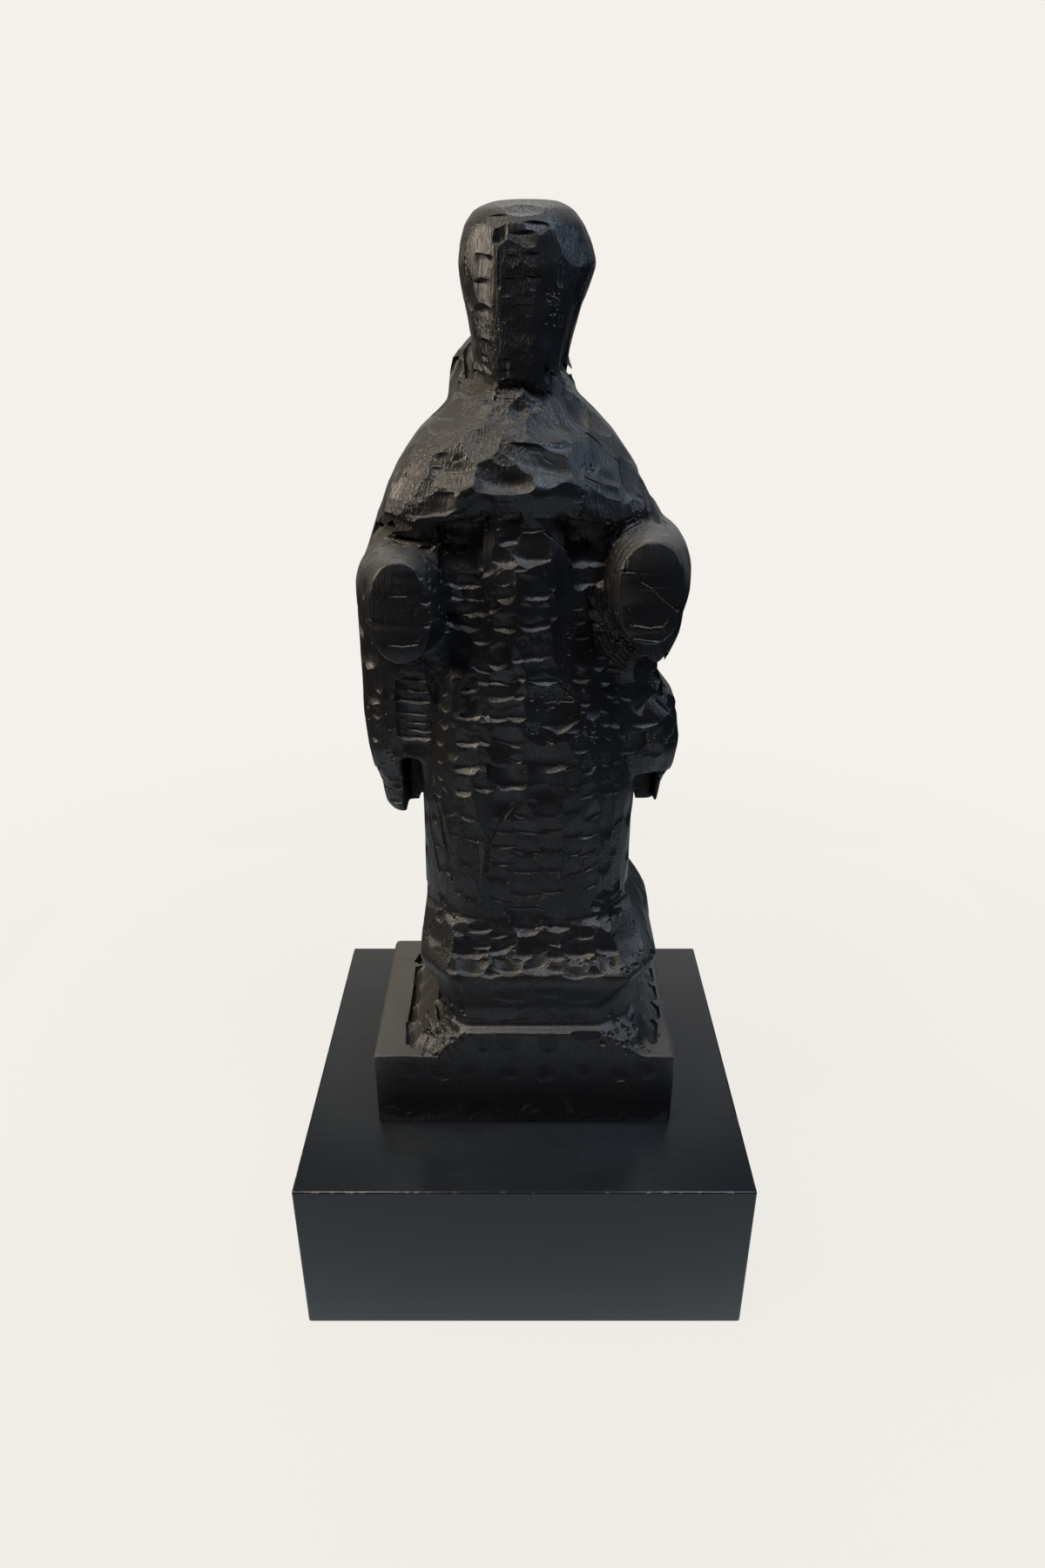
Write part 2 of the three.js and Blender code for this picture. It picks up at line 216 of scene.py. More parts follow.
paint = bpy.data.materials.new("black_satin_paint")
paint.use_nodes = True
tree = paint.node_tree
paint_shader = tree.nodes["Principled BSDF"]
place = add_node(tree, "ShaderNodeTexCoord").outputs["Object"]
brush_place = add_node(
    tree, "ShaderNodeMapping", {},
    {"Vector": place, "Scale": (1 / BRUSH_LENGTH, 1 / BRUSH_STREAK, 1 / BRUSH_STREAK)},
)
brushing = add_node(
    tree, "ShaderNodeTexNoise", {}, {"Vector": brush_place.outputs[0], "Scale": 1, "Detail": 3},
)
brush_bump = add_node(
    tree, "ShaderNodeBump", {}, {"Height": brushing.outputs["Fac"], "Distance": BRUSH_DEPTH, "Strength": 1},
)
tree.links.new(brush_bump.outputs[0], paint_shader.inputs["Normal"])
coat = add_node(
    tree, "ShaderNodeMix", {"data_type": "RGBA"},
    {"Factor": brushing.outputs["Fac"], "A": linear(PAINT_BLACK), "B": linear(PAINT_THIN)},
)
facing = add_node(tree, "ShaderNodeNewGeometry").outputs["Normal"]
sizes = add_node(tree, "ShaderNodeVectorMath", {"operation": "ABSOLUTE"}, {"Vector": facing})
parts = add_node(tree, "ShaderNodeSeparateXYZ", {}, {"Vector": sizes.outputs[0]})
widest = add_node(
    tree, "ShaderNodeMath", {"operation": "MAXIMUM"}, {0: parts.outputs["X"], 1: parts.outputs["Y"]},
)
flattest = add_node(
    tree, "ShaderNodeMath", {"operation": "MAXIMUM"}, {0: widest.outputs[0], 1: parts.outputs["Z"]},
)
on_edge = add_node(
    tree, "ShaderNodeMapRange", {}, {"Value": flattest.outputs[0], "From Min": 0.98, "From Max": 0.8},
)
patches = add_node(tree, "ShaderNodeTexNoise", {}, {"Vector": place, "Scale": 1 / WEAR_SIZE, "Detail": 3})
rubbed = add_node(
    tree, "ShaderNodeMapRange", {}, {"Value": patches.outputs["Fac"], "From Min": 0.56, "From Max": 0.68},
)
wear = add_node(
    tree, "ShaderNodeMath", {"operation": "MULTIPLY"}, {0: on_edge.outputs[0], 1: rubbed.outputs[0]},
)
worn_coat = add_node(
    tree, "ShaderNodeMix", {"data_type": "RGBA"},
    {"Factor": wear.outputs[0], "A": coat.outputs["Result"], "B": linear(PAINT_WORN)},
)
tree.links.new(worn_coat.outputs["Result"], paint_shader.inputs["Base Color"])
gloss = add_node(
    tree, "ShaderNodeMapRange", {}, {"Value": brushing.outputs["Fac"], "To Min": 0.3, "To Max": 0.2},
)
tree.links.new(gloss.outputs[0], paint_shader.inputs["Roughness"])
plinth.data.materials.append(paint)

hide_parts("plinth")
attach(plinth, "root")


# The figure is one length of dark-stained hardwood, carved all over with gouges. Its form is the packed
# solid, eased by a fine remesh, trimmed to the sawn faces of its beam, and then cut stroke by stroke.

figure_low, figure_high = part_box("carved_figure")
BEAM_FRONT = -54.7 * MM
BEAM_BACK = 46.3 * MM
BEAM_HALF = 75 * MM
GRAIN_OF_FORM = 1.6 * MM
CARVING_ALLOWANCE = 0.7 * MM

rough = bmesh.new()
rough.from_mesh(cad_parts["carved_figure"].data)
bmesh.ops.remove_doubles(rough, verts=rough.verts, dist=0.001 * MM)
surface = BVHTree.FromBMesh(rough)


def meet_wood(origin, direction):
    """Where a line meets the form."""
    at, _, _, _ = surface.ray_cast(origin, direction)
    return at


def seen_at(x, y):
    """The place on the wood that the photograph shows at a pixel."""
    return meet_wood(CAMERA_AT, photo_ray(x, y))


def swelling(x, y, wide, high, thick, proud):
    """A low rise on the form, sizes in millimetres, with its middle at a pixel of the photograph."""
    at = seen_at(x, y)
    at.y += (thick / 2 - proud) * MM
    placed = Matrix.Translation(at) @ Matrix.Diagonal((wide / 2 * MM, thick / 2 * MM, high / 2 * MM, 1))
    bmesh.ops.create_icosphere(rough, subdivisions=3, radius=1, matrix=placed)


# Where the cape runs down into each sleeve, and the raised left edge of the apron.
swelling(x=463, y=597, wide=18, high=24, thick=22, proud=0.5)
swelling(x=484, y=594, wide=22, high=20, thick=20, proud=0.5)
swelling(x=716, y=592, wide=22, high=20, thick=20, proud=0.5)
for y in range(790, 920, 26):
    swelling(x=533, y=y, wide=13, high=15, thick=10, proud=1.6)

figure = bpy.data.objects.new("gouge_carved_figure", bpy.data.meshes.new("gouge_carved_figure"))
rough.to_mesh(figure.data)
rough.free()
scene.collection.objects.link(figure)


def apply_modifiers(piece):
    """Bakes a piece's modifiers into its mesh."""
    seen = bpy.context.evaluated_depsgraph_get()
    finished = bpy.data.meshes.new_from_object(piece.evaluated_get(seen))
    piece.modifiers.clear()
    piece.data = finished


easing = figure.modifiers.new("even_grain", "REMESH")
easing.mode = "VOXEL"
easing.voxel_size = GRAIN_OF_FORM
smoothing = figure.modifiers.new("eased", "SMOOTH")
smoothing.factor = 0.5
smoothing.iterations = 4
allowance = figure.modifiers.new("allowance", "DISPLACE")
allowance.strength = CARVING_ALLOWANCE
allowance.mid_level = 0
lighter = figure.modifiers.new("lighter", "DECIMATE")
lighter.ratio = 0.2
apply_modifiers(figure)

sawn_faces = [
    (Vector((0, BEAM_FRONT, 0)), Vector((0, -1, 0))),
    (Vector((0, BEAM_BACK, 0)), Vector((0, 1, 0))),
    (Vector((-BEAM_HALF, 0, 0)), Vector((-1, 0, 0))),
    (Vector((BEAM_HALF, 0, 0)), Vector((1, 0, 0))),
    (Vector((0, 0, figure_low.z)), Vector((0, 0, -1))),
    (Vector((0, 0, figure_high.z)), Vector((0, 0, 1))),
]
form = bmesh.new()
form.from_mesh(figure.data)
for point, outward in sawn_faces:
    cut = bmesh.ops.bisect_plane(
        form, geom=form.verts[:] + form.edges[:] + form.faces[:], dist=0.01 * MM,
        plane_co=point, plane_no=outward, clear_outer=True,
    )
    rim = [e for e in cut["geom_cut"] if isinstance(e, bmesh.types.BMEdge)]
    bmesh.ops.holes_fill(form, edges=rim)
bmesh.ops.triangulate(form, faces=[f for f in form.faces if len(f.verts) > 3])
form.to_mesh(figure.data)
surface = BVHTree.FromBMesh(form)
form.free()

# The space that one stroke of a gouge empties, as a template two units wide, two long and one deep: it
# enters the wood gently, runs down to its deepest place and leaves over a lip. Past its rim the floor goes
# on rising, so that a stroke in a hollow doesn't end in a wall, and a lid closes it clear of the wood.
SWEEP_REACH = 1.4
STEPS_ACROSS = 6
STEPS_ALONG = 9
LID_HEIGHT = 4
RIM_RISE = 2.2


def gouge_sweep(deepest, rounding, fading=2):
    """deepest is how far along the stroke goes deepest, rounding how much its end curves, and fading how
    softly it runs out at its sides."""
    sweep = bmesh.new()
    bmesh.ops.create_grid(sweep, x_segments=STEPS_ACROSS, y_segments=STEPS_ALONG, size=SWEEP_REACH)
    bmesh.ops.triangulate(sweep, faces=sweep.faces)
    for v in sweep.verts:
        x, y, _ = v.co
        if abs(y) < 1:
            y = deepest + (1 - deepest) * (y - 0.4) / 0.6 if y > 0.4 else (y + 1) / 1.4 * (1 + deepest) - 1
        out = max(abs(x), abs(y)) - 1
        if out > 0:
            v.co.z = RIM_RISE * out
        elif y <= deepest:
            v.co.z = -((1 + y) / (1 + deepest)) ** 1.3 * (1 - x * x) ** fading
        else:
            v.co.z = -math.sqrt(max(0, 1 - ((y - deepest) / (1 - deepest)) ** 2)) * (1 - x * x) ** fading
        v.co.y = y - rounding * x * x * (1 + y) / 2
    rim = [e for e in sweep.edges if e.is_boundary]
    walls = bmesh.ops.extrude_edge_only(sweep, edges=rim)["geom"]
    lid = [v for v in walls if isinstance(v, bmesh.types.BMVert)]
    for v in lid:
        v.co.z = LID_HEIGHT
    bmesh.ops.holes_fill(sweep, edges=[e for e in sweep.edges if e.is_boundary])
    bmesh.ops.triangulate(sweep, faces=sweep.faces)
    bmesh.ops.recalc_face_normals(sweep, faces=sweep.faces)
    mesh = bpy.data.meshes.new("gouge_sweep")
    sweep.to_mesh(mesh)
    sweep.free()
    return mesh


scoop = gouge_sweep(deepest=0.62, rounding=0.45)
tile = gouge_sweep(deepest=0.9, rounding=0.12)
hollow = gouge_sweep(deepest=0, rounding=0, fading=1)
strokes = []
chance = random.Random(3072)
NORMAL_REACH = 3.5 * MM
DOWN = Vector((0, 0, -1))


def add_stroke(at, along, wide, long, deep, turn=0, tilt=0, loose=0.1, sweep=scoop):
    """One stroke with its middle at a place on the wood, sizes in millimetres, angles in degrees. turn
    swings it on the surface, and tilt rolls it about its own length."""
    at, _, _, _ = surface.find_nearest(at)
    near = surface.find_nearest_range(at, NORMAL_REACH)
    outward = sum((normal for _, normal, _, _ in near), Vector()).normalized()
    across = along.cross(outward).normalized()
    swing = Matrix.Rotation(math.radians(turn + chance.gauss(0, 50 * loose)), 3, outward)
    across.rotate(swing)
    along = outward.cross(across)
    roll = Matrix.Rotation(math.radians(tilt), 3, along)
    across.rotate(roll)
    outward = across.cross(along)
    size = [s * MM * (1 + chance.uniform(-loose, loose)) for s in (wide / 2, long / 2, deep)]
    basis = Matrix((across, along, outward)).transposed().to_4x4()
    placed = Matrix.Translation(at) @ basis @ Matrix.Diagonal((*size, 1))
    strokes.append({"placed": placed, "at": at, "reach": max(size[:2]) * 1.45, "sweep": sweep})


def stroke(x, y, wide, long, deep, turn=0, tilt=0, sweep=scoop, loose=0.06):
    """One stroke down the wood with its middle at a pixel of the photograph."""
    at = seen_at(x, y)
    if at:
        add_stroke(at, DOWN, wide, long, deep, turn, tilt, loose, sweep)


def lips(x, ends, wide, long, deep, turn=0, tilt=0, drift=0, loose=0.1, sweep=scoop):
    """Strokes cut down the wood in one column of the photograph. Each leaves its lip at the next height.
    drift is how far the column leans sideways in each hundred pixels."""
    for y in ends:
        y += chance.uniform(-1, 1) * 15 * loose
        foot = seen_at(x + chance.uniform(-1, 1) * 40 * loose + drift * (y - ends[0]) / 100, y)
        if foot:
            _, normal, _, _ = surface.find_nearest(foot)
            along = (DOWN - normal * DOWN.dot(normal)).normalized()
            along.rotate(Matrix.Rotation(math.radians(turn), 3, normal))
            own_length = long * (1 + chance.uniform(-loose, loose))
            middle = foot - along * own_length * MM / 2
            add_stroke(middle, along, wide, own_length, deep, 0, tilt, loose, sweep)


def steps(x, starts, wide, long, deep, turn=0, tilt=0, loose=0.05):
    """Flats cut up the wood to a stop, which leaves a dark step above each, in one column."""
    for y in starts:
        head = seen_at(x + chance.uniform(-1, 1) * 30 * loose, y)
        if head:
            _, normal, _, _ = surface.find_nearest(head)
            along = (DOWN - normal * DOWN.dot(normal)).normalized()
            along.rotate(Matrix.Rotation(math.radians(turn), 3, normal))
            add_stroke(head + along * long * MM / 2, -along, wide, long, deep, 0, tilt, loose, tile)


def every(first, last, pitch):
    """Evenly spaced heights from the first to the last."""
    count = max(1, round((last - first) / pitch))
    return [first + (last - first) * i / count for i in range(count + 1)]


def groove(path, wide, deep, long=6, sweep=hollow):
    """A fine line scored through pixels of the photograph, in short overlapping cuts."""
    for a, b in zip(path, path[1:]):
        start, stop = seen_at(*a), seen_at(*b)
        if not start or not stop:
            continue
        run = stop - start
        pieces = max(1, round(run.length / (0.4 * long * MM)))
        for i in range(pieces):
            add_stroke(start + run * (i + 0.5) / pieces, run, wide, long, deep, loose=0.02, sweep=sweep)


def torn(left, top, right, bottom, count, size, deep):
    """Torn grain: small ragged chips inside a box of pixels."""
    for _ in range(count):
        at = seen_at(chance.uniform(left, right), chance.uniform(top, bottom))
        if at:
            across = size * chance.uniform(0.6, 1.4)
            add_stroke(at, DOWN, across, across * chance.uniform(1, 2.2), deep, turn=chance.uniform(-50, 50))


# The head: a crown of two broad flats, then short flats below thin steps in three columns, and no face.
stroke(x=600, y=240, wide=34, long=12, deep=0.6, sweep=hollow)
steps(x=573, starts=(247,), wide=19, long=7, deep=1.2)
steps(x=615, starts=(254,), wide=14, long=6, deep=1.0)
stroke(x=570, y=271, wide=9, long=6, deep=1.8, tilt=-14, turn=20)
steps(x=601, starts=(265,), wide=13, long=6, deep=1.1)
steps(x=555, starts=(291, 320, 353, 390, 407), wide=12, long=10, deep=1.1)
steps(x=587, starts=(292, 318, 350), wide=8, long=6, deep=0.6)
steps(x=611, starts=(289, 315), wide=12, long=5.5, deep=0.9)
steps(x=600, starts=(338, 349, 380, 404), wide=12, long=4.5, deep=0.5)
steps(x=580, starts=(412, 424), wide=12, long=7, deep=0.7)
lips(x=648, ends=(296, 335), wide=13, long=16, deep=0.7)
stroke(x=650, y=280, wide=12, long=14, deep=0.9, tilt=-15, sweep=hollow)
stroke(x=668, y=286, wide=10, long=16, deep=0.9, tilt=12, sweep=hollow)
stroke(x=642, y=392, wide=12, long=30, deep=0.7, sweep=hollow)
torn(left=628, top=332, right=645, bottom=374, count=26, size=1.6, deep=0.5)
groove(((573, 292), (573, 326)), wide=1.4, deep=0.6)
groove(((681, 304), (664, 345), (656, 380), (649, 425)), wide=1.6, deep=0.7)
groove(((536, 272), (534, 300), (540, 345), (548, 385)), wide=1.6, deep=0.5)

# The hood behind the neck, and the ragged place under the chin.
lips(x=530, ends=every(398, 452, 13), wide=15, long=9, deep=0.9)
lips(x=655, ends=every(400, 452, 16), wide=9, long=9, deep=0.8)
lips(x=555, ends=(424, 436, 446), wide=13, long=8, deep=0.9, turn=-20)
torn(left=535, top=440, right=592, bottom=462, count=30, size=2.6, deep=0.9)
stroke(x=612, y=445, wide=12, long=14, deep=1)

# The cape: low rounded facets down its left edge, broad shallow scoops over its middle, and long
# slanting cuts down its right side.
lips(x=434, ends=every(560, 640, 24), wide=12, long=11, deep=0.7)
lips(x=452, ends=every(536, 640, 22), wide=12, long=11, deep=0.7)
lips(x=474, ends=every(508, 596, 24), wide=13, long=11, deep=0.8)
lips(x=494, ends=(500, 545, 558), wide=17, long=11, deep=0.9)
lips(x=512, ends=(482, 512, 574), wide=16, long=11, deep=0.9)
stroke(x=508, y=526, wide=9, long=6, deep=1.6)
stroke(x=524, y=523, wide=9, long=6, deep=1.4, turn=30)
lips(x=535, ends=(482,), wide=18, long=13, deep=1.1)
lips(x=573, ends=(493,), wide=15, long=15, deep=1.3)
stroke(x=552, y=507, wide=23, long=21, deep=1.7, sweep=hollow)
lips(x=530, ends=(545, 562), wide=20, long=9, deep=1, turn=8)
lips(x=587, ends=(531,), wide=15, long=14, deep=0.7)
stroke(x=587, y=552, wide=26, long=15, deep=2.6, sweep=hollow)
stroke(x=528, y=580, wide=12, long=9, deep=1.8, turn=25)
lips(x=484, ends=(578, 596), wide=20, long=9, deep=0.9)
lips(x=462, ends=(604, 618), wide=22, long=8, deep=0.8)
lips(x=598, ends=(478,), wide=9, long=12, deep=0.9)
stroke(x=627, y=489, wide=20, long=17, deep=2, turn=-30, sweep=hollow)
stroke(x=640, y=508, wide=20, long=9, deep=1.3, turn=-12)
lips(x=655, ends=(476, 498), wide=18, long=12, deep=1.1, turn=-35)
lips(x=642, ends=(520, 548), wide=26, long=10, deep=1.1, turn=-4)
lips(x=686, ends=(500, 536), wide=16, long=16, deep=1.2, turn=-35)
lips(x=694, ends=(556, 575), wide=22, long=13, deep=1.3, turn=-24)
lips(x=655, ends=(574,), wide=26, long=10, deep=1.2, turn=-6)
lips(x=718, ends=(530, 566, 596), wide=14, long=16, deep=1.2, turn=-40)
lips(x=745, ends=(586, 612), wide=13, long=14, deep=1, turn=-40)
groove(((610, 512), (622, 524), (637, 534)), wide=1.3, deep=0.6)
groove(((654, 478), (668, 495)), wide=1.3, deep=0.6)
groove(((672, 496), (692, 512), (708, 528), (722, 546)), wide=1.4, deep=0.7)
groove(((672, 548), (690, 556), (705, 566)), wide=1.2, deep=0.5)
groove(((740, 570), (756, 592), (770, 615)), wide=1.4, deep=0.6)
torn(left=466, top=540, right=505, bottom=556, count=16, size=2.4, deep=0.7)
torn(left=655, top=532, right=680, bottom=546, count=10, size=1.6, deep=0.5)
torn(left=648, top=556, right=675, bottom=572, count=10, size=1.6, deep=0.5)
torn(left=690, top=594, right=735, bottom=612, count=16, size=2, deep=0.7)

# Under the cape: a striated strip, then a round hollow at each side with rings cut in it.
lips(x=620, ends=(599,), wide=26, long=9, deep=0.9)
lips(x=586, ends=(577, 592), wide=17, long=6, deep=0.8)
torn(left=555, top=588, right=582, bottom=604, count=14, size=2, deep=0.8)
for x, y in ((530, 626), (672, 621)):
    for ring, depth in ((13.5, 1.2), (9.5, 1.8), (5.5, 2.4)):
        stroke(x, y, wide=ring, long=ring * 1.1, deep=depth, sweep=hollow)

# The chest: crescents beside the left sleeve, lit facets down the left slope of the raised strip,
# large scoops down its middle, and thin lips towards the right sleeve.
lips(x=533, ends=(643, 653, 662, 675, 690, 707, 722), wide=13, long=7, deep=1.1, loose=0.04)
lips(x=553, ends=(664, 708, 742), wide=12, long=10, deep=1.3, turn=10, tilt=-6)
lips(x=585, ends=(628,), wide=12, long=10, deep=1.8, turn=14, tilt=-12)
lips(x=571, ends=(649,), wide=16, long=10, deep=1.8, turn=10, tilt=-10)
lips(x=578, ends=(676, 692, 726), wide=12, long=8, deep=1.7, turn=10, tilt=-10)
lips(x=563, ends=(706,), wide=12, long=9, deep=1.6, turn=14, tilt=-10)
lips(x=612, ends=(612,), wide=18, long=6, deep=1)
lips(x=616, ends=(648,), wide=18, long=13, deep=2)
lips(x=596, ends=(656,), wide=13, long=5, deep=1)
lips(x=614, ends=(690, 724, 760), wide=17, long=12, deep=1.9)
lips(x=634, ends=(680, 712), wide=10, long=11, deep=1, tilt=6)
lips(x=676, ends=(646, 674), wide=13, long=9, deep=1.5, loose=0.03)
lips(x=668, ends=(700, 716, 736, 752), wide=12, long=8, deep=0.8)
lips(x=692, ends=every(690, 770, 14), wide=8, long=7, deep=0.6)
groove(((646, 650), (647, 700), (646, 760)), wide=1.6, deep=0.6)
groove(((622, 655), (622, 690)), wide=1.2, deep=0.5)
groove(((585, 604), (608, 604), (628, 613), (650, 630)), wide=1.3, deep=0.7)
stroke(x=703, y=764, wide=5, long=5, deep=1.2, sweep=hollow)
torn(left=650, top=700, right=712, bottom=770, count=26, size=1.8, deep=0.5)

# The apron: a bright column of scallops down its left edge, arcs across its middle, torn grain beside.
lips(x=538, ends=(796,), wide=9, long=9, deep=2, tilt=-16)
lips(x=532, ends=(827, 859, 887, 914), wide=13, long=11, deep=2.3, tilt=-16, drift=-6, loose=0.03)
lips(x=572, ends=(768,), wide=11, long=9, deep=1.9, turn=16, tilt=-8)
lips(x=596, ends=(760, 784, 804), wide=12, long=9, deep=1.7, turn=14)
lips(x=555, ends=(775, 788), wide=12, long=7, deep=1.5, turn=6)
lips(x=572, ends=(790, 804, 828), wide=17, long=8, deep=1.3)
lips(x=558, ends=(828, 856, 886, 912), wide=13, long=11, deep=1.2, tilt=8, loose=0.05)
lips(x=590, ends=(828, 858, 906), wide=17, long=12, deep=1.5, loose=0.04)
lips(x=601, ends=(866, 877, 889), wide=7, long=6, deep=1.2, turn=24)
stroke(x=632, y=768, wide=19, long=12, deep=1.2, sweep=hollow)
lips(x=632, ends=(786,), wide=20, long=10, deep=2)
lips(x=670, ends=(784,), wide=13, long=9, deep=1.8)
lips(x=674, ends=(812,), wide=9, long=8, deep=1.8)
groove(((640, 782), (650, 793), (662, 804)), wide=1.5, deep=0.9)
groove(((632, 805), (655, 805)), wide=1.4, deep=0.7)
lips(x=628, ends=(838, 880), wide=21, long=14, deep=1.2)
lips(x=664, ends=(842, 864), wide=14, long=10, deep=0.9)
lips(x=694, ends=every(786, 880, 16), wide=9, long=7, deep=0.8, turn=-35)
torn(left=605, top=786, right=662, bottom=860, count=34, size=2, deep=0.6)
torn(left=662, top=806, right=712, bottom=862, count=34, size=2, deep=0.6)

# The robe below the apron: low tile-like scoops, a smooth flank at the left with pleats, and one fold.
lips(x=540, ends=(944, 968, 1000, 1036), wide=20, long=13, deep=0.7)
lips(x=575, ends=(958, 976, 994, 1012, 1036), wide=17, long=9, deep=0.7, turn=-10)
lips(x=602, ends=(940, 957, 982, 1004, 1030), wide=17, long=9, deep=0.7, turn=-6)
lips(x=633, ends=(905, 940, 958, 980, 1002, 1026), wide=15, long=10, deep=0.7)
lips(x=658, ends=(884, 908, 936, 962, 984, 1006), wide=13, long=10, deep=0.6, turn=12)
lips(x=680, ends=(888, 914, 940, 960, 980, 1000, 1020), wide=14, long=9, deep=0.8, turn=24)
lips(x=706, ends=every(880, 1050, 34), wide=12, long=14, deep=0.5)
lips(x=512, ends=every(915, 1050, 24), wide=8, long=12, deep=0.8, turn=-24, drift=8)
lips(x=498, ends=every(915, 1060, 28), wide=8, long=14, deep=0.8, turn=-20, drift=4)
groove(((588, 925), (572, 945), (561, 968), (558, 1000)), wide=2.2, deep=0.8)
groove(((498, 905), (506, 940), (513, 975), (519, 1010)), wide=2, deep=0.9)
groove(((492, 930), (498, 965), (505, 1000)), wide=1.8, deep=0.8)
groove(((693, 955), (693, 1010), (697, 1058)), wide=1.8, deep=0.6)
torn(left=570, top=1010, right=640, bottom=1056, count=16, size=1.6, deep=0.5)

# The hem: three uneven rows of lit scallops that climb from the lip to the robe.
lips(x=530, ends=(1076, 1100), wide=16, long=10, deep=1.8, turn=-12, loose=0.05)
lips(x=552, ends=(1072, 1092), wide=14, long=9, deep=1.7, turn=10, loose=0.05)
lips(x=578, ends=(1078, 1094), wide=13, long=9, deep=1.5, turn=16, loose=0.05)
lips(x=604, ends=(1072, 1100), wide=17, long=12, deep=1.2, loose=0.05)
lips(x=639, ends=(1070, 1088, 1104), wide=14, long=8, deep=1.6, loose=0.05)
lips(x=668, ends=(1080, 1100), wide=13, long=9, deep=1.4, turn=10, loose=0.05)
lips(x=694, ends=(1072, 1096), wide=13, long=12, deep=1.2, turn=-20, loose=0.08)
lips(x=722, ends=(1084, 1106), wide=13, long=12, deep=1.2, turn=-30, loose=0.08)
for x in range(516, 700, 24):
    lips(x, ends=(1120 + 2.5 * math.sin(x / 17),), wide=13, long=8.5, deep=1.5, loose=0.06)
torn(left=636, top=1088, right=700, bottom=1116, count=20, size=2, deep=0.7)
torn(left=535, top=1066, right=600, bottom=1092, count=14, size=2, deep=0.7)
torn(left=700, top=1080, right=748, bottom=1120, count=18, size=2.6, deep=0.9)

# The foot: a bevel under the lip, a plain neck, and a ragged broken place at each side.
lips(x=552, ends=(1142,), wide=16, long=8, deep=0.6)
lips(x=585, ends=(1152,), wide=18, long=9, deep=0.5)
lips(x=625, ends=(1148,), wide=18, long=9, deep=0.6)
lips(x=665, ends=(1152,), wide=18, long=9, deep=0.4)
for x in range(550, 690, 28):
    lips(x, ends=(1171,), wide=15, long=5, deep=0.3)
torn(left=480, top=1145, right=532, bottom=1212, count=46, size=4, deep=1.3)
torn(left=690, top=1156, right=738, bottom=1198, count=22, size=4, deep=1.1)
torn(left=715, top=1186, right=758, bottom=1212, count=14, size=2.6, deep=0.9)

# The block: two faint rows of short hewing marks across its front.
for row in (1206, 1241, 1279):
    for x in range(470, 760, 40):
        x += chance.uniform(-9, 9)
        if row > 1218 or 545 < x < 680:
            lips(x, ends=(row,), wide=11, long=12, deep=0.6, loose=0.2)

# The left sleeve: a smooth cap, small dimples down its inner side, and two short marks on its sawn face.
stroke(x=462, y=632, wide=24, long=14, deep=0.6, sweep=hollow)
for x in (495, 503, 511):
    lips(x, ends=every(632, 726, 12), wide=4.6, long=4.6, deep=0.8, loose=0.3)
groove(((450, 684), (463, 684)), wide=1.2, deep=0.45)
groove(((448, 740), (462, 741), (478, 739)), wide=1.6, deep=0.6)
torn(left=420, top=705, right=432, bottom=745, count=10, size=2.2, deep=0.7)

# The right sleeve: rings cut around its inner side, a crack across its face, and one long curved mark.
for spread in (7, 12, 17, 23, 29, 35):
    turns = [math.radians(a) for a in range(100, 241, 20)]
    groove([(746 + (35 + spread) * math.cos(a), 684 - (60 + spread) * math.sin(a)) for a in turns],
           wide=2, deep=0.7, long=7)
groove(((713, 655), (731, 657), (738, 668), (750, 675), (760, 686), (776, 699)), wide=1.1, deep=0.6, long=3)
groove(((722, 700), (726, 716), (745, 719), (760, 718), (765, 712)), wide=1.8, deep=0.7)
groove(((735, 732), (750, 734)), wide=1.2, deep=0.35)
groove(((762, 738), (772, 745)), wide=1.8, deep=0.9)

# The left wing of the mantle: long facets outside, a ladder of crescents inside, and a stepped lobe.
lips(x=417, ends=every(660, 760, 30), wide=10, long=16, deep=0.7)
lips(x=430, ends=(795, 826, 862), wide=12, long=14, deep=0.8)
lips(x=450, ends=(800, 840, 868), wide=9, long=16, deep=0.7)
lips(x=479, ends=(783, 797, 808, 823, 833, 841, 850), wide=13, long=6.5, deep=1.7, loose=0.03)
lips(x=507, ends=every(780, 915, 20), wide=8, long=10, deep=0.6)
lips(x=454, ends=(896, 905, 922), wide=14, long=6, deep=1)
torn(left=420, top=775, right=445, bottom=832, count=16, size=2.2, deep=0.6)
torn(left=425, top=862, right=450, bottom=908, count=18, size=2.6, deep=0.9)

# The right wing: three folds at its edge, one large scallop, torn grain, and a smooth pocket.
groove(((750, 771), (766, 790), (780, 806)), wide=2.6, deep=1.5)
groove(((746, 777), (760, 797), (779, 818)), wide=2.6, deep=1.5)
groove(((742, 787), (757, 807), (777, 829)), wide=2.6, deep=1.5)
lips(x=738, ends=(836,), wide=25, long=13, deep=1.5, loose=0.02)
groove(((738, 804), (750, 803)), wide=1.3, deep=0.6)
lips(x=722, ends=(806, 866), wide=10, long=10, deep=0.8)
lips(x=748, ends=(870,), wide=18, long=12, deep=0.9)
torn(left=712, top=838, right=775, bottom=862, count=30, size=2, deep=0.6)
torn(left=750, top=878, right=765, bottom=905, count=10, size=2.4, deep=0.8)

# What the photograph doesn't show: plainer, longer strokes round the sides and down the back.
for z in range(100, 500, 20):
    for x in range(-70, 75, 17):
        at = meet_wood(Vector(((x + 7 * (z % 2)) * MM, 0.4, z * MM)), Vector((0, -1, 0)))
        if at:
            add_stroke(at, DOWN, wide=17, long=24, deep=1.2)
    for side in (-1, 1):
        for y in range(-36, 40, 16):
            at = meet_wood(Vector((side * 0.4, y * MM, z * MM)), Vector((-side, 0, 0)))
            if at:
                add_stroke(at, DOWN, wide=15, long=22, deep=1)

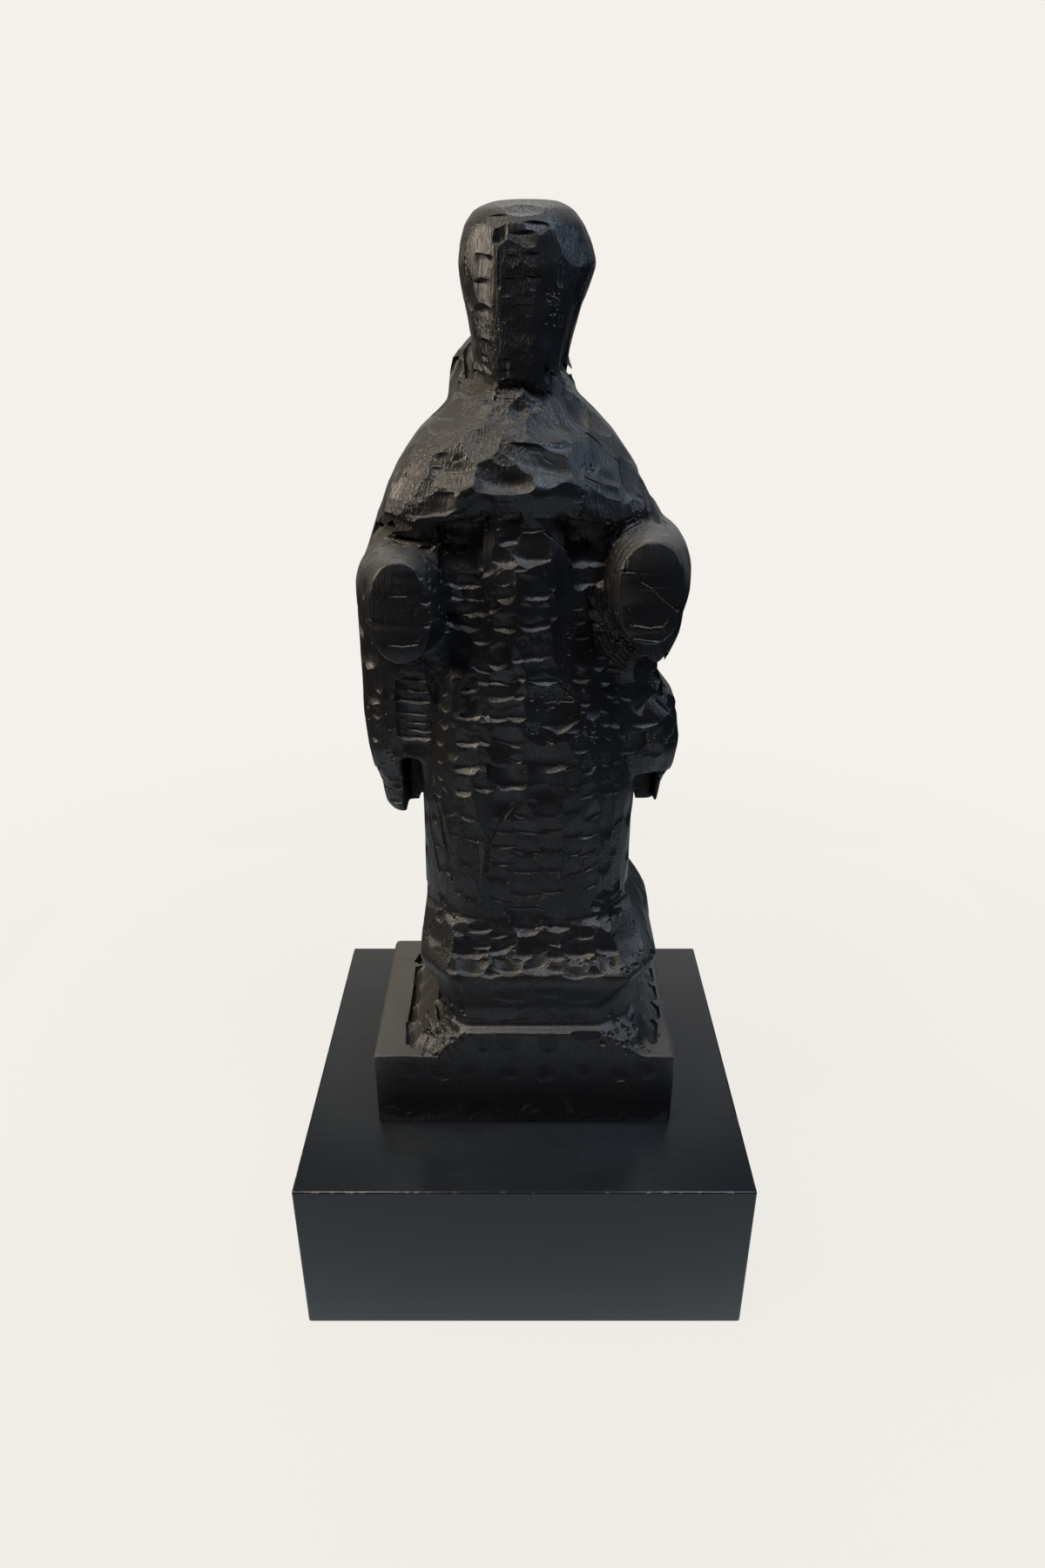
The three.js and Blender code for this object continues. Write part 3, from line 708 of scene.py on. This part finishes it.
strokes.sort(key=lambda s: s["at"].z)
centres = KDTree(len(strokes))
for i, s in enumerate(strokes):
    centres.insert(s["at"], i)
centres.balance()
longest = max(s["reach"] for s in strokes)
for i, s in enumerate(strokes):
    near = [strokes[j] for _, j, gap in centres.find_range(s["at"], s["reach"] + longest)
            if j != i and gap < s["reach"] + strokes[j]["reach"]]
    taken = {n.get("round") for n in near}
    s["round"] = next(r for r in range(len(strokes)) if r not in taken)
rounds = 1 + max(s["round"] for s in strokes)

RAGGED_LIP = 0.06
UNEVEN_FLOOR = 0.05
cutters = []
for r in range(rounds):
    chips = bmesh.new()
    number = chips.faces.layers.int.new("stroke")
    for i, s in enumerate(strokes):
        if s["round"] != r:
            continue
        verts_before = len(chips.verts)
        faces_before = len(chips.faces)
        chips.from_mesh(s["sweep"])
        chips.verts.ensure_lookup_table()
        chips.faces.ensure_lookup_table()
        for v in chips.verts[verts_before:]:
            v.co.y += chance.gauss(0, RAGGED_LIP)
            v.co.z += chance.gauss(0, UNEVEN_FLOOR)
        bmesh.ops.transform(chips, matrix=s["placed"], verts=chips.verts[verts_before:])
        for f in chips.faces[faces_before:]:
            f[number] = i + 1
    bmesh.ops.triangulate(chips, faces=chips.faces)
    cutter = bpy.data.objects.new(f"strokes_{r}", bpy.data.meshes.new(f"strokes_{r}"))
    chips.to_mesh(cutter.data)
    chips.free()
    scene.collection.objects.link(cutter)
    cutting = figure.modifiers.new(f"strokes_{r}", "BOOLEAN")
    cutting.operation = "DIFFERENCE"
    cutting.solver = "MANIFOLD"
    cutting.object = cutter
    cutters.append(cutter)
apply_modifiers(figure)
for cutter in cutters:
    bpy.data.objects.remove(cutter)

carved = bmesh.new()
carved.from_mesh(figure.data)
number = carved.faces.layers.int["stroke"]

# Chips that the cuts left hanging loose are swept away, so that one closed body stays.
unseen = set(carved.verts)
bodies = []
while unseen:
    reached = [unseen.pop()]
    for v in reached:
        found = {e.other_vert(v) for e in v.link_edges} & unseen
        unseen -= found
        reached.extend(found)
    bodies.append(reached)
bodies.sort(key=len)
bmesh.ops.delete(carved, geom=[v for chip in bodies[:-1] for v in chip], context="VERTS")
for f in carved.faces:
    f.smooth = True
for e in carved.edges:
    ids = {f[number] for f in e.link_faces}
    e.smooth = len(ids) == 1
carved.to_mesh(figure.data)
carved.free()

# Hardwood stained nearly black and waxed. The eye gets a charcoal body, streaked along the grain, with
# a slightly different tone and shine in each gouge cut, paler worn ridges, and a fine upright grain. Faces
# that look up are paled, partly by dust and partly by a painted sheen of the light from above.
STAIN_DARK = "101113"
STAIN_MID = "1E1E20"
STAIN_WORN = "4A4744"
DUST_AND_SHEEN = "6E6B66"
GRAIN_WIDTH = 1.1 * MM
GRAIN_LENGTH = 16 * MM
GRAIN_DEPTH = 0.35 * MM
TEAR_WIDTH = 1.5 * MM
TEAR_LENGTH = 3.6 * MM
TEAR_DEPTH = 0.7 * MM
CHATTER_SPACING = 2.6 * MM
CHATTER_DEPTH = 0.07 * MM
CLOUD_SIZE = 24 * MM

wood = bpy.data.materials.new("black_stained_hardwood")
wood.use_nodes = True
tree = wood.node_tree
wood_shader = tree.nodes["Principled BSDF"]
place = add_node(tree, "ShaderNodeTexCoord").outputs["Object"]
grain_place = add_node(
    tree, "ShaderNodeMapping", {},
    {"Vector": place, "Scale": (1 / GRAIN_WIDTH, 1 / GRAIN_WIDTH, 1 / GRAIN_LENGTH)},
)
grain = add_node(
    tree, "ShaderNodeTexNoise", {},
    {"Vector": grain_place.outputs[0], "Scale": 1, "Detail": 3, "Roughness": 0.6, "Distortion": 0.2},
)
tear_place = add_node(
    tree, "ShaderNodeMapping", {},
    {"Vector": place, "Scale": (1 / TEAR_WIDTH, 1 / TEAR_WIDTH, 1 / TEAR_LENGTH)},
)
tears = add_node(
    tree, "ShaderNodeTexNoise", {},
    {"Vector": tear_place.outputs[0], "Scale": 1, "Detail": 2.5, "Roughness": 0.65, "Distortion": 0.8},
)
clouds = add_node(tree, "ShaderNodeTexNoise", {}, {"Vector": place, "Scale": 1 / CLOUD_SIZE, "Detail": 2})
torn_share = add_node(
    tree, "ShaderNodeMapRange", {}, {"Value": clouds.outputs["Fac"], "From Min": 0.42, "From Max": 0.62},
)
chatter_place = add_node(
    tree, "ShaderNodeMapping", {},
    {"Vector": place, "Scale": (1 / (6 * CHATTER_SPACING), 1 / (6 * CHATTER_SPACING), 1 / CHATTER_SPACING)},
)
chatter = add_node(
    tree, "ShaderNodeTexNoise", {}, {"Vector": chatter_place.outputs[0], "Scale": 1, "Detail": 1.5},
)
grain_bump = add_node(
    tree, "ShaderNodeBump", {}, {"Height": grain.outputs["Fac"], "Distance": GRAIN_DEPTH, "Strength": 1},
)
chatter_bump = add_node(
    tree, "ShaderNodeBump", {},
    {"Height": chatter.outputs["Fac"], "Distance": CHATTER_DEPTH, "Strength": 1,
     "Normal": grain_bump.outputs[0]},
)
tear_bump = add_node(
    tree, "ShaderNodeBump", {},
    {"Height": tears.outputs["Fac"], "Distance": TEAR_DEPTH, "Strength": torn_share.outputs[0],
     "Normal": chatter_bump.outputs[0]},
)
tree.links.new(tear_bump.outputs[0], wood_shader.inputs["Normal"])

stroke_number = add_node(tree, "ShaderNodeAttribute", {"attribute_name": "stroke"})
own_tone = add_node(
    tree, "ShaderNodeTexWhiteNoise", {"noise_dimensions": "1D"}, {"W": stroke_number.outputs["Fac"]},
)
streaks = add_node(
    tree, "ShaderNodeMath", {"operation": "MULTIPLY_ADD"},
    {0: own_tone.outputs["Value"], 1: 0.35, 2: grain.outputs["Fac"]},
)
body_share = add_node(
    tree, "ShaderNodeMapRange", {}, {"Value": streaks.outputs[0], "From Min": 0.35, "From Max": 1.0},
)
body = add_node(
    tree, "ShaderNodeMix", {"data_type": "RGBA"},
    {"Factor": body_share.outputs[0], "A": linear(STAIN_DARK), "B": linear(STAIN_MID)},
)
ridges = add_node(tree, "ShaderNodeNewGeometry")
worn_share = add_node(
    tree, "ShaderNodeMapRange", {},
    {"Value": ridges.outputs["Pointiness"], "From Min": 0.54, "From Max": 0.66, "To Max": 0.6},
)
worn = add_node(
    tree, "ShaderNodeMix", {"data_type": "RGBA"},
    {"Factor": worn_share.outputs[0], "A": body.outputs["Result"], "B": linear(STAIN_WORN)},
)
# Painted sheen: faces that look up are mixed towards a pale grey, partly dust settled on them and partly
# painted light from above.
upward = add_node(tree, "ShaderNodeSeparateXYZ", {}, {"Vector": ridges.outputs["Normal"]})
dust_and_sheen_share = add_node(
    tree, "ShaderNodeMapRange", {"interpolation_type": "SMOOTHSTEP"},
    {"Value": upward.outputs["Z"], "From Min": 0.25, "From Max": 0.95, "To Max": 0.45},
)
dust_and_sheen = add_node(
    tree, "ShaderNodeMix", {"data_type": "RGBA"},
    {"Factor": dust_and_sheen_share.outputs[0], "A": worn.outputs["Result"], "B": linear(DUST_AND_SHEEN)},
)
tree.links.new(dust_and_sheen.outputs["Result"], wood_shader.inputs["Base Color"])
shine = add_node(
    tree, "ShaderNodeMapRange", {},
    {"Value": streaks.outputs[0], "From Min": 0.3, "From Max": 1.1, "To Min": 0.5, "To Max": 0.28},
)
tree.links.new(shine.outputs[0], wood_shader.inputs["Roughness"])
figure.data.materials.clear()
figure.data.materials.append(wood)

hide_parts("carved_figure")
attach(figure, "root")
